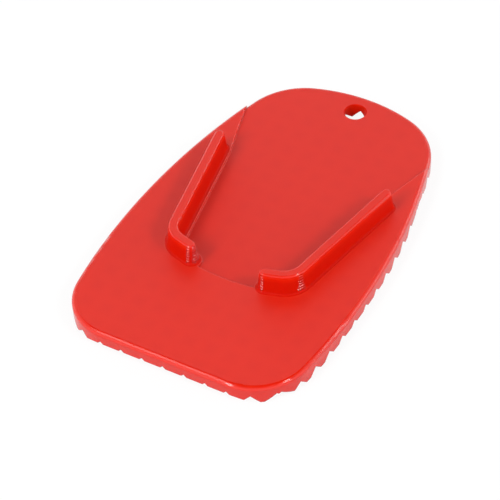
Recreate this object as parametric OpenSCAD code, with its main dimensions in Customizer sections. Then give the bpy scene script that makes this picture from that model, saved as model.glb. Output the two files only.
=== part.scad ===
// Side-stand foot pad: a flat moulded plate with a rounded rim, a shallow recess that
// holds the foot of the stand between two hooked rails, a cord hole near its narrow end
// and square cleats all over its underside.
// Millimetres. Z is up, the underside rests on Z = 0, the wide end points along -Y.

/* [Plate] */
// length of the plate along Y
plate_len = 115; // [108:1:125]
// width of the plate at its widest place
plate_w = 74; // [70:1:80]
// thickness beside and in front of the recess
plate_t = 5.4; // [4.8:0.1:7]
// radius of the rounded upper rim
rim_r = 1.3; // [0.5:0.1:1.6]
// distance from the wide end to the widest place
widest_at = 41; // [38:1:46]
// radius of the long side curves
side_r = 200; // [180:5:260]
// radius of the two corners at the wide end
front_corner_r = 16.5; // [10:0.5:18]
// radius of the two corners at the narrow end
rear_corner_r = 20; // [16:0.5:22]
// radius of the curve of the narrow end
rear_r = 48.5; // [44:0.5:56]

/* [Recess] */
// depth of the recess below the upper face
recess_d = 0.8; // [0.4:0.1:1.2]
// radius of the front edge of the recess
recess_front_r = 48.5; // [40:0.5:70]
// distance from the wide end of the plate to the front edge of the recess
recess_front_at = 32.9; // [32:0.1:34]
// angle at which the sides of the recess spread behind the rails, degrees
recess_flare = 16; // [11:1:24]
// radius of the upper edge of the recess
recess_edge_r = 0.3; // [0.1:0.1:0.4]

/* [Rails] */
// height of the rails above the upper face
rail_h = 6.2; // [4.5:0.1:7]
// width of a rail across its top
rail_top_w = 2.5; // [2.2:0.1:3]
// slope of the rail sides from upright, degrees
rail_draft = 8; // [2:0.5:10]
// radius along the upper edges of a rail
rail_edge_r = 0.5; // [0.3:0.1:0.8]
// radius of the fillet at the foot of a rail
rail_fillet_r = 0.8; // [0.4:0.1:1]
// distance between the rail middles at their rear ends
rail_gap_rear = 52.6; // [50:0.2:54]
// distance between the rail middles where they turn inwards
rail_gap_front = 38.2; // [36:0.2:42]
// distance from the wide end of the plate to the rear ends of the rails
rail_rear_at = 76.4; // [72:0.2:78]
// distance from the wide end of the plate to the place where the rails turn
rail_turn_at = 37; // [36.4:0.1:38]
// radius of the turn, at the middle of the rail
rail_turn_r = 6; // [5:0.5:7]
// length of the hook from the turn to its end
hook_len = 8; // [7:0.2:9]
// angle of the hook forwards from straight across, degrees
hook_angle = 16; // [12:1:20]

/* [Cord hole] */
// diameter of the cord hole
hole_d = 6.4; // [5:0.1:7]
// distance from the narrow end to the middle of the hole
hole_at = 7; // [6.4:0.2:8]

/* [Cleats] */
// distance from one groove of the underside to the next, both ways
cleat_pitch = 6.4; // [5.6:0.1:8]
// depth of the grooves
groove_d = 2.3; // [1:0.1:2.6]
// slope of the groove sides from upright, degrees
groove_slope = 45; // [35:1:46]

/* [Hidden] */
body_color = "#e0322b";
// how far cutting shapes reach past the plate
past = 5;
// how deep the rails are set into the plate below the recess
rail_root = 1;
// flat strip left beside the fillet of a rail
rail_ledge = 0.15;
disc_fn = 96;
rail_fn = 48;
side_fn = 288;
edge_fn = 16;

front_y = -plate_len / 2;
rear_y = plate_len / 2;
floor_t = plate_t - recess_d;

// middles of the curves of the right half of the outline
side_c = [plate_w / 2 - side_r, front_y + widest_at];
rear_c = [0, rear_y - rear_r];
front_corner_y = front_y + front_corner_r;
front_corner_c = [
    side_c.x + sqrt(pow(side_r - front_corner_r, 2) - pow(front_corner_y - side_c.y, 2)),
    front_corner_y
];
rear_corner_c = circles_meet(rear_c, rear_r - rear_corner_r, side_c, side_r - rear_corner_r);

// right-hand rail: its middle line, and the directions along it
rail_rear = [rail_gap_rear / 2, front_y + rail_rear_at];
rail_turn = [rail_gap_front / 2, front_y + rail_turn_at];
rail_dir = unit(rail_rear - rail_turn);
rail_angle = atan2(rail_dir.y, rail_dir.x);
hook_dir = [-cos(hook_angle), -sin(hook_angle)];
hook_end = rail_turn + hook_len * hook_dir;
turn_by = rail_angle - hook_angle;
turn_cut = rail_turn_r * tan(turn_by / 2);
turn_start = rail_turn + turn_cut * rail_dir;
turn_c = turn_start + rail_turn_r * [-rail_dir.y, rail_dir.x];

// half section of a rail
rail_top = plate_t + rail_h;
top_half = rail_top_w / 2;
foot_half = top_half + rail_h * tan(rail_draft);
corner_half = (90 + rail_draft) / 2;
edge_cut = rail_edge_r / tan(corner_half);
toe_cut = rail_fillet_r / tan(corner_half);
toe_x = foot_half + toe_cut;
pad_half = toe_x + rail_ledge;

// place where the right-hand side of the recess leaves the foot of the rail
recess_bend = rail_rear + toe_x * [-rail_dir.y, rail_dir.x];

hole_c = [0, rear_y - hole_at];
groove_half = groove_d * tan(groove_slope);

function unit(v) = v / norm(v);
function mirrored(p) = [-p.x, p.y];

// of the two points where two circles meet, the one nearer the narrow end
function circles_meet(a, ra, b, rb) =
    let(
        d = norm(b - a),
        e = (b - a) / d,
        along = (ra * ra - rb * rb + d * d) / (2 * d),
        off = sqrt(ra * ra - along * along)
    )
    a + along * e + off * [e.y, -e.x];

// section of a plate edge: the plate reaches from 0 to r and is t thick
module edge_section(r, t) {
    square([r - rim_r, t]);
    square([r, t - rim_r]);
    translate([r - rim_r, t - rim_r]) circle(r = rim_r, $fn = edge_fn);
}

// round plate with the rounded rim
module disc(c, r, t, fn) {
    translate([c.x, c.y, 0]) rotate_extrude($fn = fn) edge_section(r, t);
}

// plate that ends in the straight edge of the wide end
module front_bar(t) {
    reach = plate_len + past;
    translate([0, rear_y + past, 0])
        rotate([90, 0, -90])
            linear_extrude(height = plate_w + 2 * past, center = true)
                edge_section(reach, t);
}

// wedge that takes off the sharp corner between two directions seen from c
module corner_cut(c, u, v, r) {
    k = 2 * r;
    translate([c.x, c.y, -past])
        linear_extrude(height = plate_t + 2 * past)
            polygon([[0, 0], k * u, k * (u + v), k * v]);
}

module both_sides() {
    children();
    mirror([1, 0, 0]) children();
}

// the curve of the narrow end, with a plain block for the rest of the plate
module rear_end(t) {
    disc(rear_c, rear_r, t, disc_fn);
    translate([-rear_r, front_y - past, 0]) cube([2 * rear_r, rear_c.y - front_y + past, t]);
}

// the whole outline as a plate t thick with the rounded rim
module slab(t) {
    difference() {
        intersection() {
            disc(side_c, side_r, t, side_fn);
            disc([-side_c.x, side_c.y], side_r, t, side_fn);
            rear_end(t);
            front_bar(t);
        }
        both_sides() {
            corner_cut(front_corner_c, [0, -1], unit(front_corner_c - side_c), front_corner_r);
            corner_cut(rear_corner_c, unit(rear_corner_c - side_c), unit(rear_corner_c - rear_c), rear_corner_r);
        }
    }
    both_sides() {
        disc(front_corner_c, front_corner_r, t, disc_fn);
        disc(rear_corner_c, rear_corner_r, t, disc_fn);
    }
}

// section of a cut from 0 to r whose upper edge is rounded over onto the plate
module cut_section(r) {
    edge = r + recess_edge_r;
    difference() {
        translate([0, -past]) square([edge, plate_t + 2 * past]);
        translate([r, -past]) square([recess_edge_r, past + plate_t - recess_edge_r]);
        translate([edge, plate_t - recess_edge_r]) circle(r = recess_edge_r, $fn = edge_fn);
    }
}

// everything on the inner side of the right-hand line behind the rails
module flare_cut() {
    translate([recess_bend.x, recess_bend.y, 0])
        rotate([90, 0, -recess_flare])
            linear_extrude(height = 2 * plate_len, center = true)
                translate([-plate_w, 0]) cut_section(plate_w);
}

// recess: from its curved front edge to the rails, wider behind them, open at the narrow end
module recess() {
    front = recess_bend - rail_rear_at * rail_dir;
    intersection() {
        translate([0, front_y + recess_front_at + recess_front_r, 0])
            rotate_extrude($fn = side_fn) cut_section(recess_front_r);
        union() {
            translate([0, 0, -past])
                linear_extrude(height = plate_t + 2 * past)
                    polygon([front, recess_bend, mirrored(recess_bend), mirrored(front)]);
            intersection() {
                flare_cut();
                mirror([1, 0, 0]) flare_cut();
            }
        }
    }
}

module plate() {
    slab(floor_t);
    difference() {
        slab(plate_t);
        recess();
    }
}

// section of a rail, with rounded upper edges and filleted feet
module rail_section() {
    side = [sin(rail_draft), -cos(rail_draft)];
    right = [
        [pad_half, floor_t - rail_root],
        [pad_half, plate_t],
        [toe_x, plate_t],
        [foot_half, plate_t] - toe_cut * side,
        [top_half, rail_top] + edge_cut * side,
        [top_half - edge_cut, rail_top]
    ];
    last = len(right) - 1;
    difference() {
        polygon(concat(right, [for (i = [last : -1 : 0]) mirrored(right[i])]));
        for (s = [-1, 1])
            translate([s * toe_x, plate_t + rail_fillet_r]) circle(r = rail_fillet_r, $fn = edge_fn);
    }
    for (s = [-1, 1])
        translate([s * (top_half - edge_cut), rail_top - rail_edge_r]) circle(r = rail_edge_r, $fn = edge_fn);
}

module rail_half() {
    intersection() {
        rail_section();
        square([pad_half, rail_top]);
    }
}

// straight piece of rail from a point, along a direction
module rail_run(from, dir, length) {
    translate([from.x, from.y, 0])
        rotate([90, 0, atan2(dir.y, dir.x) + 90])
            linear_extrude(height = length) rail_section();
}

// rounded end of a rail that runs out along a direction
module rail_end(at, dir) {
    translate([at.x, at.y, 0])
        rotate([0, 0, atan2(dir.y, dir.x) - 90])
            rotate_extrude(angle = 180, $fn = rail_fn) rail_half();
}

module rail() {
    rail_run(turn_start, rail_dir, norm(rail_rear - turn_start));
    rail_run(rail_turn + turn_cut * hook_dir, hook_dir, hook_len - turn_cut);
    translate([turn_c.x, turn_c.y, 0])
        rotate([0, 0, rail_angle - 90 - turn_by])
            rotate_extrude(angle = turn_by, $fn = rail_fn)
                translate([rail_turn_r, 0]) rail_section();
    rail_end(rail_rear, rail_dir);
    rail_end(hook_end, hook_dir);
}

// one groove of the underside, along Y and in the middle
module groove(length) {
    low = (groove_d + past) * tan(groove_slope);
    rotate([90, 0, 0])
        linear_extrude(height = length, center = true)
            polygon([[0, groove_d], [-low, -past], [low, -past]]);
}

module grooves() {
    across = ceil((plate_w / 2 + groove_half) / cleat_pitch);
    to_front = ceil((hole_c.y - front_y + groove_half) / cleat_pitch);
    to_rear = ceil((rear_y - hole_c.y + groove_half) / cleat_pitch);
    for (i = [-across : across])
        translate([i * cleat_pitch, 0, 0]) groove(plate_len + 2 * past);
    for (i = [-to_front : to_rear])
        translate([0, hole_c.y + i * cleat_pitch, 0]) rotate([0, 0, 90]) groove(plate_w + 2 * past);
}

module cord_hole() {
    translate([hole_c.x, hole_c.y, -past]) cylinder(d = hole_d, h = plate_t + 2 * past, $fn = disc_fn);
}

module foot_pad() {
    color(body_color)
        difference() {
            union() {
                plate();
                both_sides() rail();
            }
            grooves();
            cord_hole();
        }
}

foot_pad();
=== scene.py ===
"""Looks of the side-stand foot pad: its glossy red plastic, a white studio and the photograph's camera.

Metres. The object lies on Z = 0, its long axis along Y and its wide end towards -Y.
"""
import math

import bpy
from mathutils import Matrix, Vector


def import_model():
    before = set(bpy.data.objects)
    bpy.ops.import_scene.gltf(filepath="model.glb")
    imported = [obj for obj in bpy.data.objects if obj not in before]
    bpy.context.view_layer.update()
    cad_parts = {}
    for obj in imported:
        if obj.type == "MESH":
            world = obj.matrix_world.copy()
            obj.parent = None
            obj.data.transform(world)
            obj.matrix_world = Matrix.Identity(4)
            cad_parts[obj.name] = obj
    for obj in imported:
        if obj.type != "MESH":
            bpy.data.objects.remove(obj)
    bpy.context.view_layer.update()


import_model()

PAD = "foot_pad"
MM = 0.001

# The photograph's camera, in the frame of the object. Its turn is about its own line of sight.
PHOTO_SIDE_PX = 500
SENSOR_MM = 36.0
FOCAL_PX = 2568.0
CAMERA_AZIMUTH = 32.01
CAMERA_ELEVATION = 45.197
CAMERA_TURN = -3.521
CAMERA_DISTANCE = 704.0 * MM
CAMERA_TARGET = Vector((-1.90 * MM, -7.77 * MM, 0.0))
CAMERA_CLIP = (0.01, 20.0)

# Plastic: a red that the gloss alone makes paler, slightly translucent
RED = (0.60, 0.011, 0.0008)
DEEP_RED = (0.555, 0.008, 0.0005)
# Deeper red that paints shade low on the rails and around the sides
SHADE_RED = (0.49, 0.005, 0.0003)
PLASTIC = {
    "IOR": 1.5,
    "Subsurface Weight": 0.3,
    "Subsurface Radius": (1.0, 0.1, 0.05),
    "Subsurface Scale": 1.5 * MM,
}

# What mixes the red with the deep red: soft clouds, by a share, and for the rest the grooves of
# the underside, which show through the plate a little. One of them crosses under the cord hole.
CLOUD_SIZE = 18 * MM
CLOUD_DETAIL = 2.0
CLOUD_SHARE = 0.6
GROOVE_PITCH = 6.4 * MM

# Cord hole: its centre, on the middle line, and a radius that takes in its wall and no more
HOLE_AT_Y = 50.5 * MM
HOLE_RADIUS = 3.3 * MM

# Heights between which the rails begin above the plate: none, full
RAIL_FEET = (5.403 * MM, 5.43 * MM)

# Painted shade: a deeper red low on the rails, where they rise from the plate, and, by a share, low around
# the sides.
# Heights between which that painted shade fades: full, none.
RAIL_SHADE_HEIGHTS = (9.2 * MM, 10.6 * MM)
SIDE_SHADE_HEIGHTS = (4.2 * MM, 4.7 * MM)
SIDE_SHADE_SHARE = 0.6

# Relief: a fine grain, and edges that are never quite sharp
GRAIN_SIZE = 1.1 * MM
GRAIN_DEPTH = 0.004 * MM
GRAIN_DETAIL = 1.0
EDGE_ROUND = 0.55 * MM

# Fine level tool marks in narrow strips, two at the end of each hook and one at its bend: how
# high they reach, behind which line there are none, and how far from the middle line they lie
MARK_PITCH = 0.8 * MM
MARK_DEPTH = 0.26 * MM
MARK_HEIGHTS = (5.9 * MM, 11.2 * MM)
MARKS_END_AT_Y = -18.5 * MM
MARK_STRIPS = ((9.4 * MM, 10.3 * MM), (10.9 * MM, 11.9 * MM), (20.3 * MM, 40.0 * MM))

# Gloss: level faces on top are satin, the sides of the rails and the wall of the hole are dull,
# and everything else is polished. The satin is full on faces that tilt less than the first
# angle and gone at the second, in degrees.
GLOSS = 0.5
DULL_GLOSS = 0.05
FACE_ROUGHNESS = 0.46
SIDE_ROUGHNESS = 0.09
SATIN_FULL = 4
SATIN_END = 12

# Heights between which the dull sides of the rails give way to their polished tops
DULL_HEIGHTS = (10.4 * MM, 11.1 * MM)

# Studio: how bright the walls are at some elevations, and the lamps, each as
# (azimuth, elevation), (width, height), watts
WALLS = ((0, 1.7), (12, 1.7), (22, 1.1), (32, 0.88), (46, 0.88), (58, 0.12))
LAMP_DISTANCE = 1.3
LAMPS = {
    "front_lamp": ((-18, 39), (0.18, 0.32), 7.0),
    "side_lamp": ((84, 42), (0.24, 0.22), 5.8),
    "front_window": ((-45, 55), (0.50, 0.50), 2.9),
    "rear_window": ((140, 15), (0.90, 0.28), 2.8),
}

# Floor: its size, its level just under the cleats, its own grey, and how much of what each
# kind of ray sees of it is plain white
FLOOR_HALF = 3.0
FLOOR_LEVEL = -0.02 * MM
PAPER = 0.85
PAPER_ROUGHNESS = 0.9
WHITE_SHARE = {"Is Camera Ray": 0.9, "Is Glossy Ray": 0.5, "Is Transmission Ray": 0.5}


def towards(azimuth, elevation):
    """Unit vector from the object to a place seen at these angles, in degrees."""
    a, e = math.radians(azimuth), math.radians(elevation)
    return Vector((math.sin(a) * math.cos(e), -math.cos(a) * math.cos(e), math.sin(e)))


class Graph:
    """The nodes of a material or a world."""

    def __init__(self, tree):
        self.nodes = tree.nodes
        self.links = tree.links

    def put(self, socket, value):
        """Link another node's output to an input, or set the input to a plain value."""
        if isinstance(value, bpy.types.NodeSocket):
            self.links.new(value, socket)
        else:
            socket.default_value = value

    def add(self, kind, **inputs):
        """New node of a kind. Its inputs are named with underscores for spaces."""
        node = self.nodes.new(kind)
        for name, value in inputs.items():
            self.put(node.inputs[name.replace("_", " ")], value)
        return node

    def calculate(self, operation, *values):
        """Output of a new math node."""
        node = self.nodes.new("ShaderNodeMath")
        node.operation = operation
        for socket, value in zip(node.inputs, values):
            self.put(socket, value)
        return node.outputs["Value"]

    def slope(self, value, start, end, low, high):
        """Output that runs from low to high while the value goes from start to end."""
        ends = {"From_Min": start, "From_Max": end, "To_Min": low, "To_Max": high}
        return self.add("ShaderNodeMapRange", Value=value, **ends).outputs["Result"]

    def between(self, value, start, end):
        """Output that is 1 while the value is between start and end, and 0 elsewhere."""
        past_start = self.calculate("GREATER_THAN", value, start)
        before_end = self.calculate("LESS_THAN", value, end)
        return self.calculate("MULTIPLY", past_start, before_end)

    def waves(self, value, pitch):
        """Output that swings between -1 and 1 as the value grows, and is 1 at 0."""
        turns = self.calculate("MULTIPLY", value, 2 * math.pi / pitch)
        return self.calculate("COSINE", turns)

    def blend(self, first, second, share):
        """Colour that goes from the first to the second as the share goes from 0 to 1."""
        node = self.nodes.new("ShaderNodeMix")
        node.data_type = "RGBA"
        for name, value in (("A", first), ("B", second), ("Factor", share)):
            self.put(node.inputs[name], value)
        return node.outputs["Result"]


def cord_hole(graph, at):
    """1 in the cord hole and on its wall, and 0 elsewhere."""
    along = graph.calculate("SUBTRACT", at["Y"], HOLE_AT_Y)
    across = graph.calculate("MULTIPLY", at["X"], at["X"])
    away = graph.calculate("MULTIPLY_ADD", along, along, across)
    return graph.calculate("LESS_THAN", away, HOLE_RADIUS ** 2)


def mark_strips(graph, at):
    """1 in the strips of tool marks, and 0 elsewhere."""
    aside = graph.calculate("ABSOLUTE", at["X"])
    marked = 0.0
    for start, end in MARK_STRIPS:
        marked = graph.calculate("ADD", graph.between(aside, start, end), marked)
    marked = graph.calculate("MULTIPLY", marked, graph.between(at["Z"], *MARK_HEIGHTS))
    in_front = graph.calculate("LESS_THAN", at["Y"], MARKS_END_AT_Y)
    return graph.calculate("MULTIPLY", marked, in_front)


def reds(graph, place, at, on_rails, in_hole):
    """Colour: soft clouds, the lattice of the grooves, and painted shade low on the rails and around the
    sides.
    """
    cloud = graph.add("ShaderNodeTexNoise", Vector=place, Scale=1 / CLOUD_SIZE, Detail=CLOUD_DETAIL)
    from_groove = graph.calculate("SUBTRACT", at["Y"], HOLE_AT_Y)
    waves = (graph.waves(at["X"], GROOVE_PITCH), graph.waves(from_groove, GROOVE_PITCH))
    lattice = graph.slope(graph.calculate("MAXIMUM", *waves), -1, 1, 0, 1 - CLOUD_SHARE)
    light = graph.calculate("MULTIPLY_ADD", cloud.outputs["Fac"], CLOUD_SHARE, lattice)
    red = graph.blend((*DEEP_RED, 1), (*RED, 1), light)

    # Painted shade: deeper red low on the rails, and by a share low around the sides, but not in the cord
    # hole
    rail = graph.slope(at["Z"], *RAIL_SHADE_HEIGHTS, 1, 0)
    rail = graph.calculate("MULTIPLY", on_rails, rail)
    side = graph.slope(at["Z"], *SIDE_SHADE_HEIGHTS, SIDE_SHADE_SHARE, 0)
    side = graph.calculate("MULTIPLY", side, graph.calculate("SUBTRACT", 1.0, in_hole))
    return graph.blend(red, (*SHADE_RED, 1), graph.calculate("MAXIMUM", rail, side))


def relief(graph, place, at, marked):
    """Normal: rounded edges, a fine grain, and the tool marks."""
    edge = graph.add("ShaderNodeBevel", Radius=EDGE_ROUND).outputs["Normal"]
    grain = graph.add("ShaderNodeTexNoise", Vector=place, Scale=1 / GRAIN_SIZE, Detail=GRAIN_DETAIL)
    grained = graph.add("ShaderNodeBump", Height=grain.outputs["Fac"], Distance=GRAIN_DEPTH, Normal=edge)
    ridges = graph.slope(graph.waves(at["Z"], MARK_PITCH), -1, 1, 0, 1)
    ridges = graph.calculate("MULTIPLY", ridges, marked)
    normal = grained.outputs["Normal"]
    return graph.add("ShaderNodeBump", Height=ridges, Distance=MARK_DEPTH, Normal=normal).outputs["Normal"]


def gloss(graph, at, on_rails, in_hole, marked):
    """Roughness and specular level."""
    normal = graph.add("ShaderNodeNewGeometry").outputs["Normal"]
    upright = graph.add("ShaderNodeSeparateXYZ", Vector=normal).outputs["Z"]
    satin_end, satin_full = (math.cos(math.radians(tilt)) for tilt in (SATIN_END, SATIN_FULL))
    satin = graph.slope(upright, satin_end, satin_full, SIDE_ROUGHNESS, FACE_ROUGHNESS)

    dull = graph.calculate("MULTIPLY", on_rails, graph.slope(at["Z"], *DULL_HEIGHTS, 1, 0))
    dull = graph.calculate("MULTIPLY", dull, graph.calculate("SUBTRACT", 1.0, marked))
    dull = graph.calculate("MAXIMUM", dull, in_hole)
    dull_roughness = graph.calculate("MULTIPLY", dull, FACE_ROUGHNESS)
    roughness = graph.calculate("MAXIMUM", satin, dull_roughness)
    return roughness, graph.slope(dull, 0, 1, GLOSS, DULL_GLOSS)


def plastic():
    """Glossy, slightly translucent red plastic."""
    mat = bpy.data.materials.new("pad_plastic")
    mat.use_nodes = True
    graph = Graph(mat.node_tree)
    place = graph.add("ShaderNodeTexCoord").outputs["Object"]
    at = graph.add("ShaderNodeSeparateXYZ", Vector=place).outputs
    on_rails = graph.slope(at["Z"], *RAIL_FEET, 0, 1)
    in_hole = cord_hole(graph, at)
    marked = mark_strips(graph, at)
    roughness, level = gloss(graph, at, on_rails, in_hole, marked)

    shader = graph.nodes["Principled BSDF"]
    graph.put(shader.inputs["Base Color"], reds(graph, place, at, on_rails, in_hole))
    graph.put(shader.inputs["Normal"], relief(graph, place, at, marked))
    graph.put(shader.inputs["Roughness"], roughness)
    graph.put(shader.inputs["Specular IOR Level"], level)
    for name, value in PLASTIC.items():
        shader.inputs[name].default_value = value
    return mat


def paper():
    """White floor that still takes a faint shadow."""
    mat = bpy.data.materials.new("paper")
    mat.use_nodes = True
    graph = Graph(mat.node_tree)
    shader = graph.nodes["Principled BSDF"]
    shader.inputs["Base Color"].default_value = (PAPER, PAPER, PAPER, 1)
    shader.inputs["Roughness"].default_value = PAPER_ROUGHNESS
    shader.inputs["Specular IOR Level"].default_value = 0.0
    glow = graph.add("ShaderNodeEmission", Color=(1, 1, 1, 1), Strength=1.0)
    ray = graph.add("ShaderNodeLightPath")
    share = 0.0
    for kind, part in WHITE_SHARE.items():
        white = graph.calculate("MULTIPLY", ray.outputs[kind], part)
        share = graph.calculate("MAXIMUM", white, share)
    mix = graph.add("ShaderNodeMixShader", Fac=share)
    graph.put(mix.inputs[1], shader.outputs["BSDF"])
    graph.put(mix.inputs[2], glow.outputs["Emission"])
    graph.put(graph.nodes["Material Output"].inputs["Surface"], mix.outputs["Shader"])
    return mat


def floor():
    """Large sheet of the paper just under the cleats."""
    corners = [
        (x * FLOOR_HALF, y * FLOOR_HALF, FLOOR_LEVEL)
        for x, y in ((-1, -1), (1, -1), (1, 1), (-1, 1))
    ]
    mesh = bpy.data.meshes.new("floor")
    mesh.from_pydata(corners, [], [(0, 1, 2, 3)])
    mesh.materials.append(paper())
    obj = bpy.data.objects.new("floor", mesh)
    bpy.context.scene.collection.objects.link(obj)


def world():
    """Walls that are bright near the floor and dark overhead, so that the gloss shows the rims."""
    studio = bpy.data.worlds.new("studio")
    studio.use_nodes = True
    graph = Graph(studio.node_tree)
    way = graph.add("ShaderNodeTexCoord").outputs["Generated"]
    up = graph.add("ShaderNodeSeparateXYZ", Vector=way).outputs["Z"]
    ramp = graph.add("ShaderNodeValToRGB", Fac=up)
    ramp.color_ramp.interpolation = "EASE"
    stops = ramp.color_ramp.elements
    while len(stops) < len(WALLS):
        stops.new(1.0)
    brightest = max(level for _, level in WALLS)
    for stop, (elevation, level) in zip(stops, WALLS):
        grey = level / brightest
        stop.position = math.sin(math.radians(elevation))
        stop.color = (grey, grey, grey, 1)
    background = graph.nodes["Background"]
    graph.put(background.inputs["Color"], ramp.outputs["Color"])
    graph.put(background.inputs["Strength"], brightest)
    bpy.context.scene.world = studio


def lamp(name, angles, size, watts):
    """Area lamp that looks at the object from these angles."""
    data = bpy.data.lights.new(name, "AREA")
    data.shape = "RECTANGLE"
    data.size, data.size_y = size
    data.energy = watts
    obj = bpy.data.objects.new(name, data)
    out = towards(*angles)
    obj.location = out * LAMP_DISTANCE
    obj.rotation_mode = "QUATERNION"
    obj.rotation_quaternion = out.to_track_quat("Z", "Y")
    bpy.context.scene.collection.objects.link(obj)


def camera():
    """The photograph's camera, which looks at its target."""
    data = bpy.data.cameras.new("photo_camera")
    data.sensor_width = SENSOR_MM
    data.lens = FOCAL_PX / PHOTO_SIDE_PX * SENSOR_MM
    data.clip_start, data.clip_end = CAMERA_CLIP
    obj = bpy.data.objects.new("photo_camera", data)
    back = towards(CAMERA_AZIMUTH, CAMERA_ELEVATION)
    right = Vector((0, 0, 1)).cross(back).normalized()
    up = back.cross(right)
    turn = math.radians(CAMERA_TURN)
    cam_x = math.cos(turn) * right + math.sin(turn) * up
    cam_y = -math.sin(turn) * right + math.cos(turn) * up
    axes = Matrix((cam_x, cam_y, back)).transposed().to_4x4()
    obj.matrix_world = Matrix.Translation(CAMERA_TARGET + CAMERA_DISTANCE * back) @ axes
    bpy.context.scene.collection.objects.link(obj)
    bpy.context.scene.camera = obj


def main():
    bpy.context.scene.view_settings.view_transform = "Standard"
    camera()
    world()
    floor()
    for name, (angles, size, watts) in LAMPS.items():
        lamp(name, angles, size, watts)
    pad = bpy.data.objects[PAD]
    pad.data.materials[0] = plastic()


main()
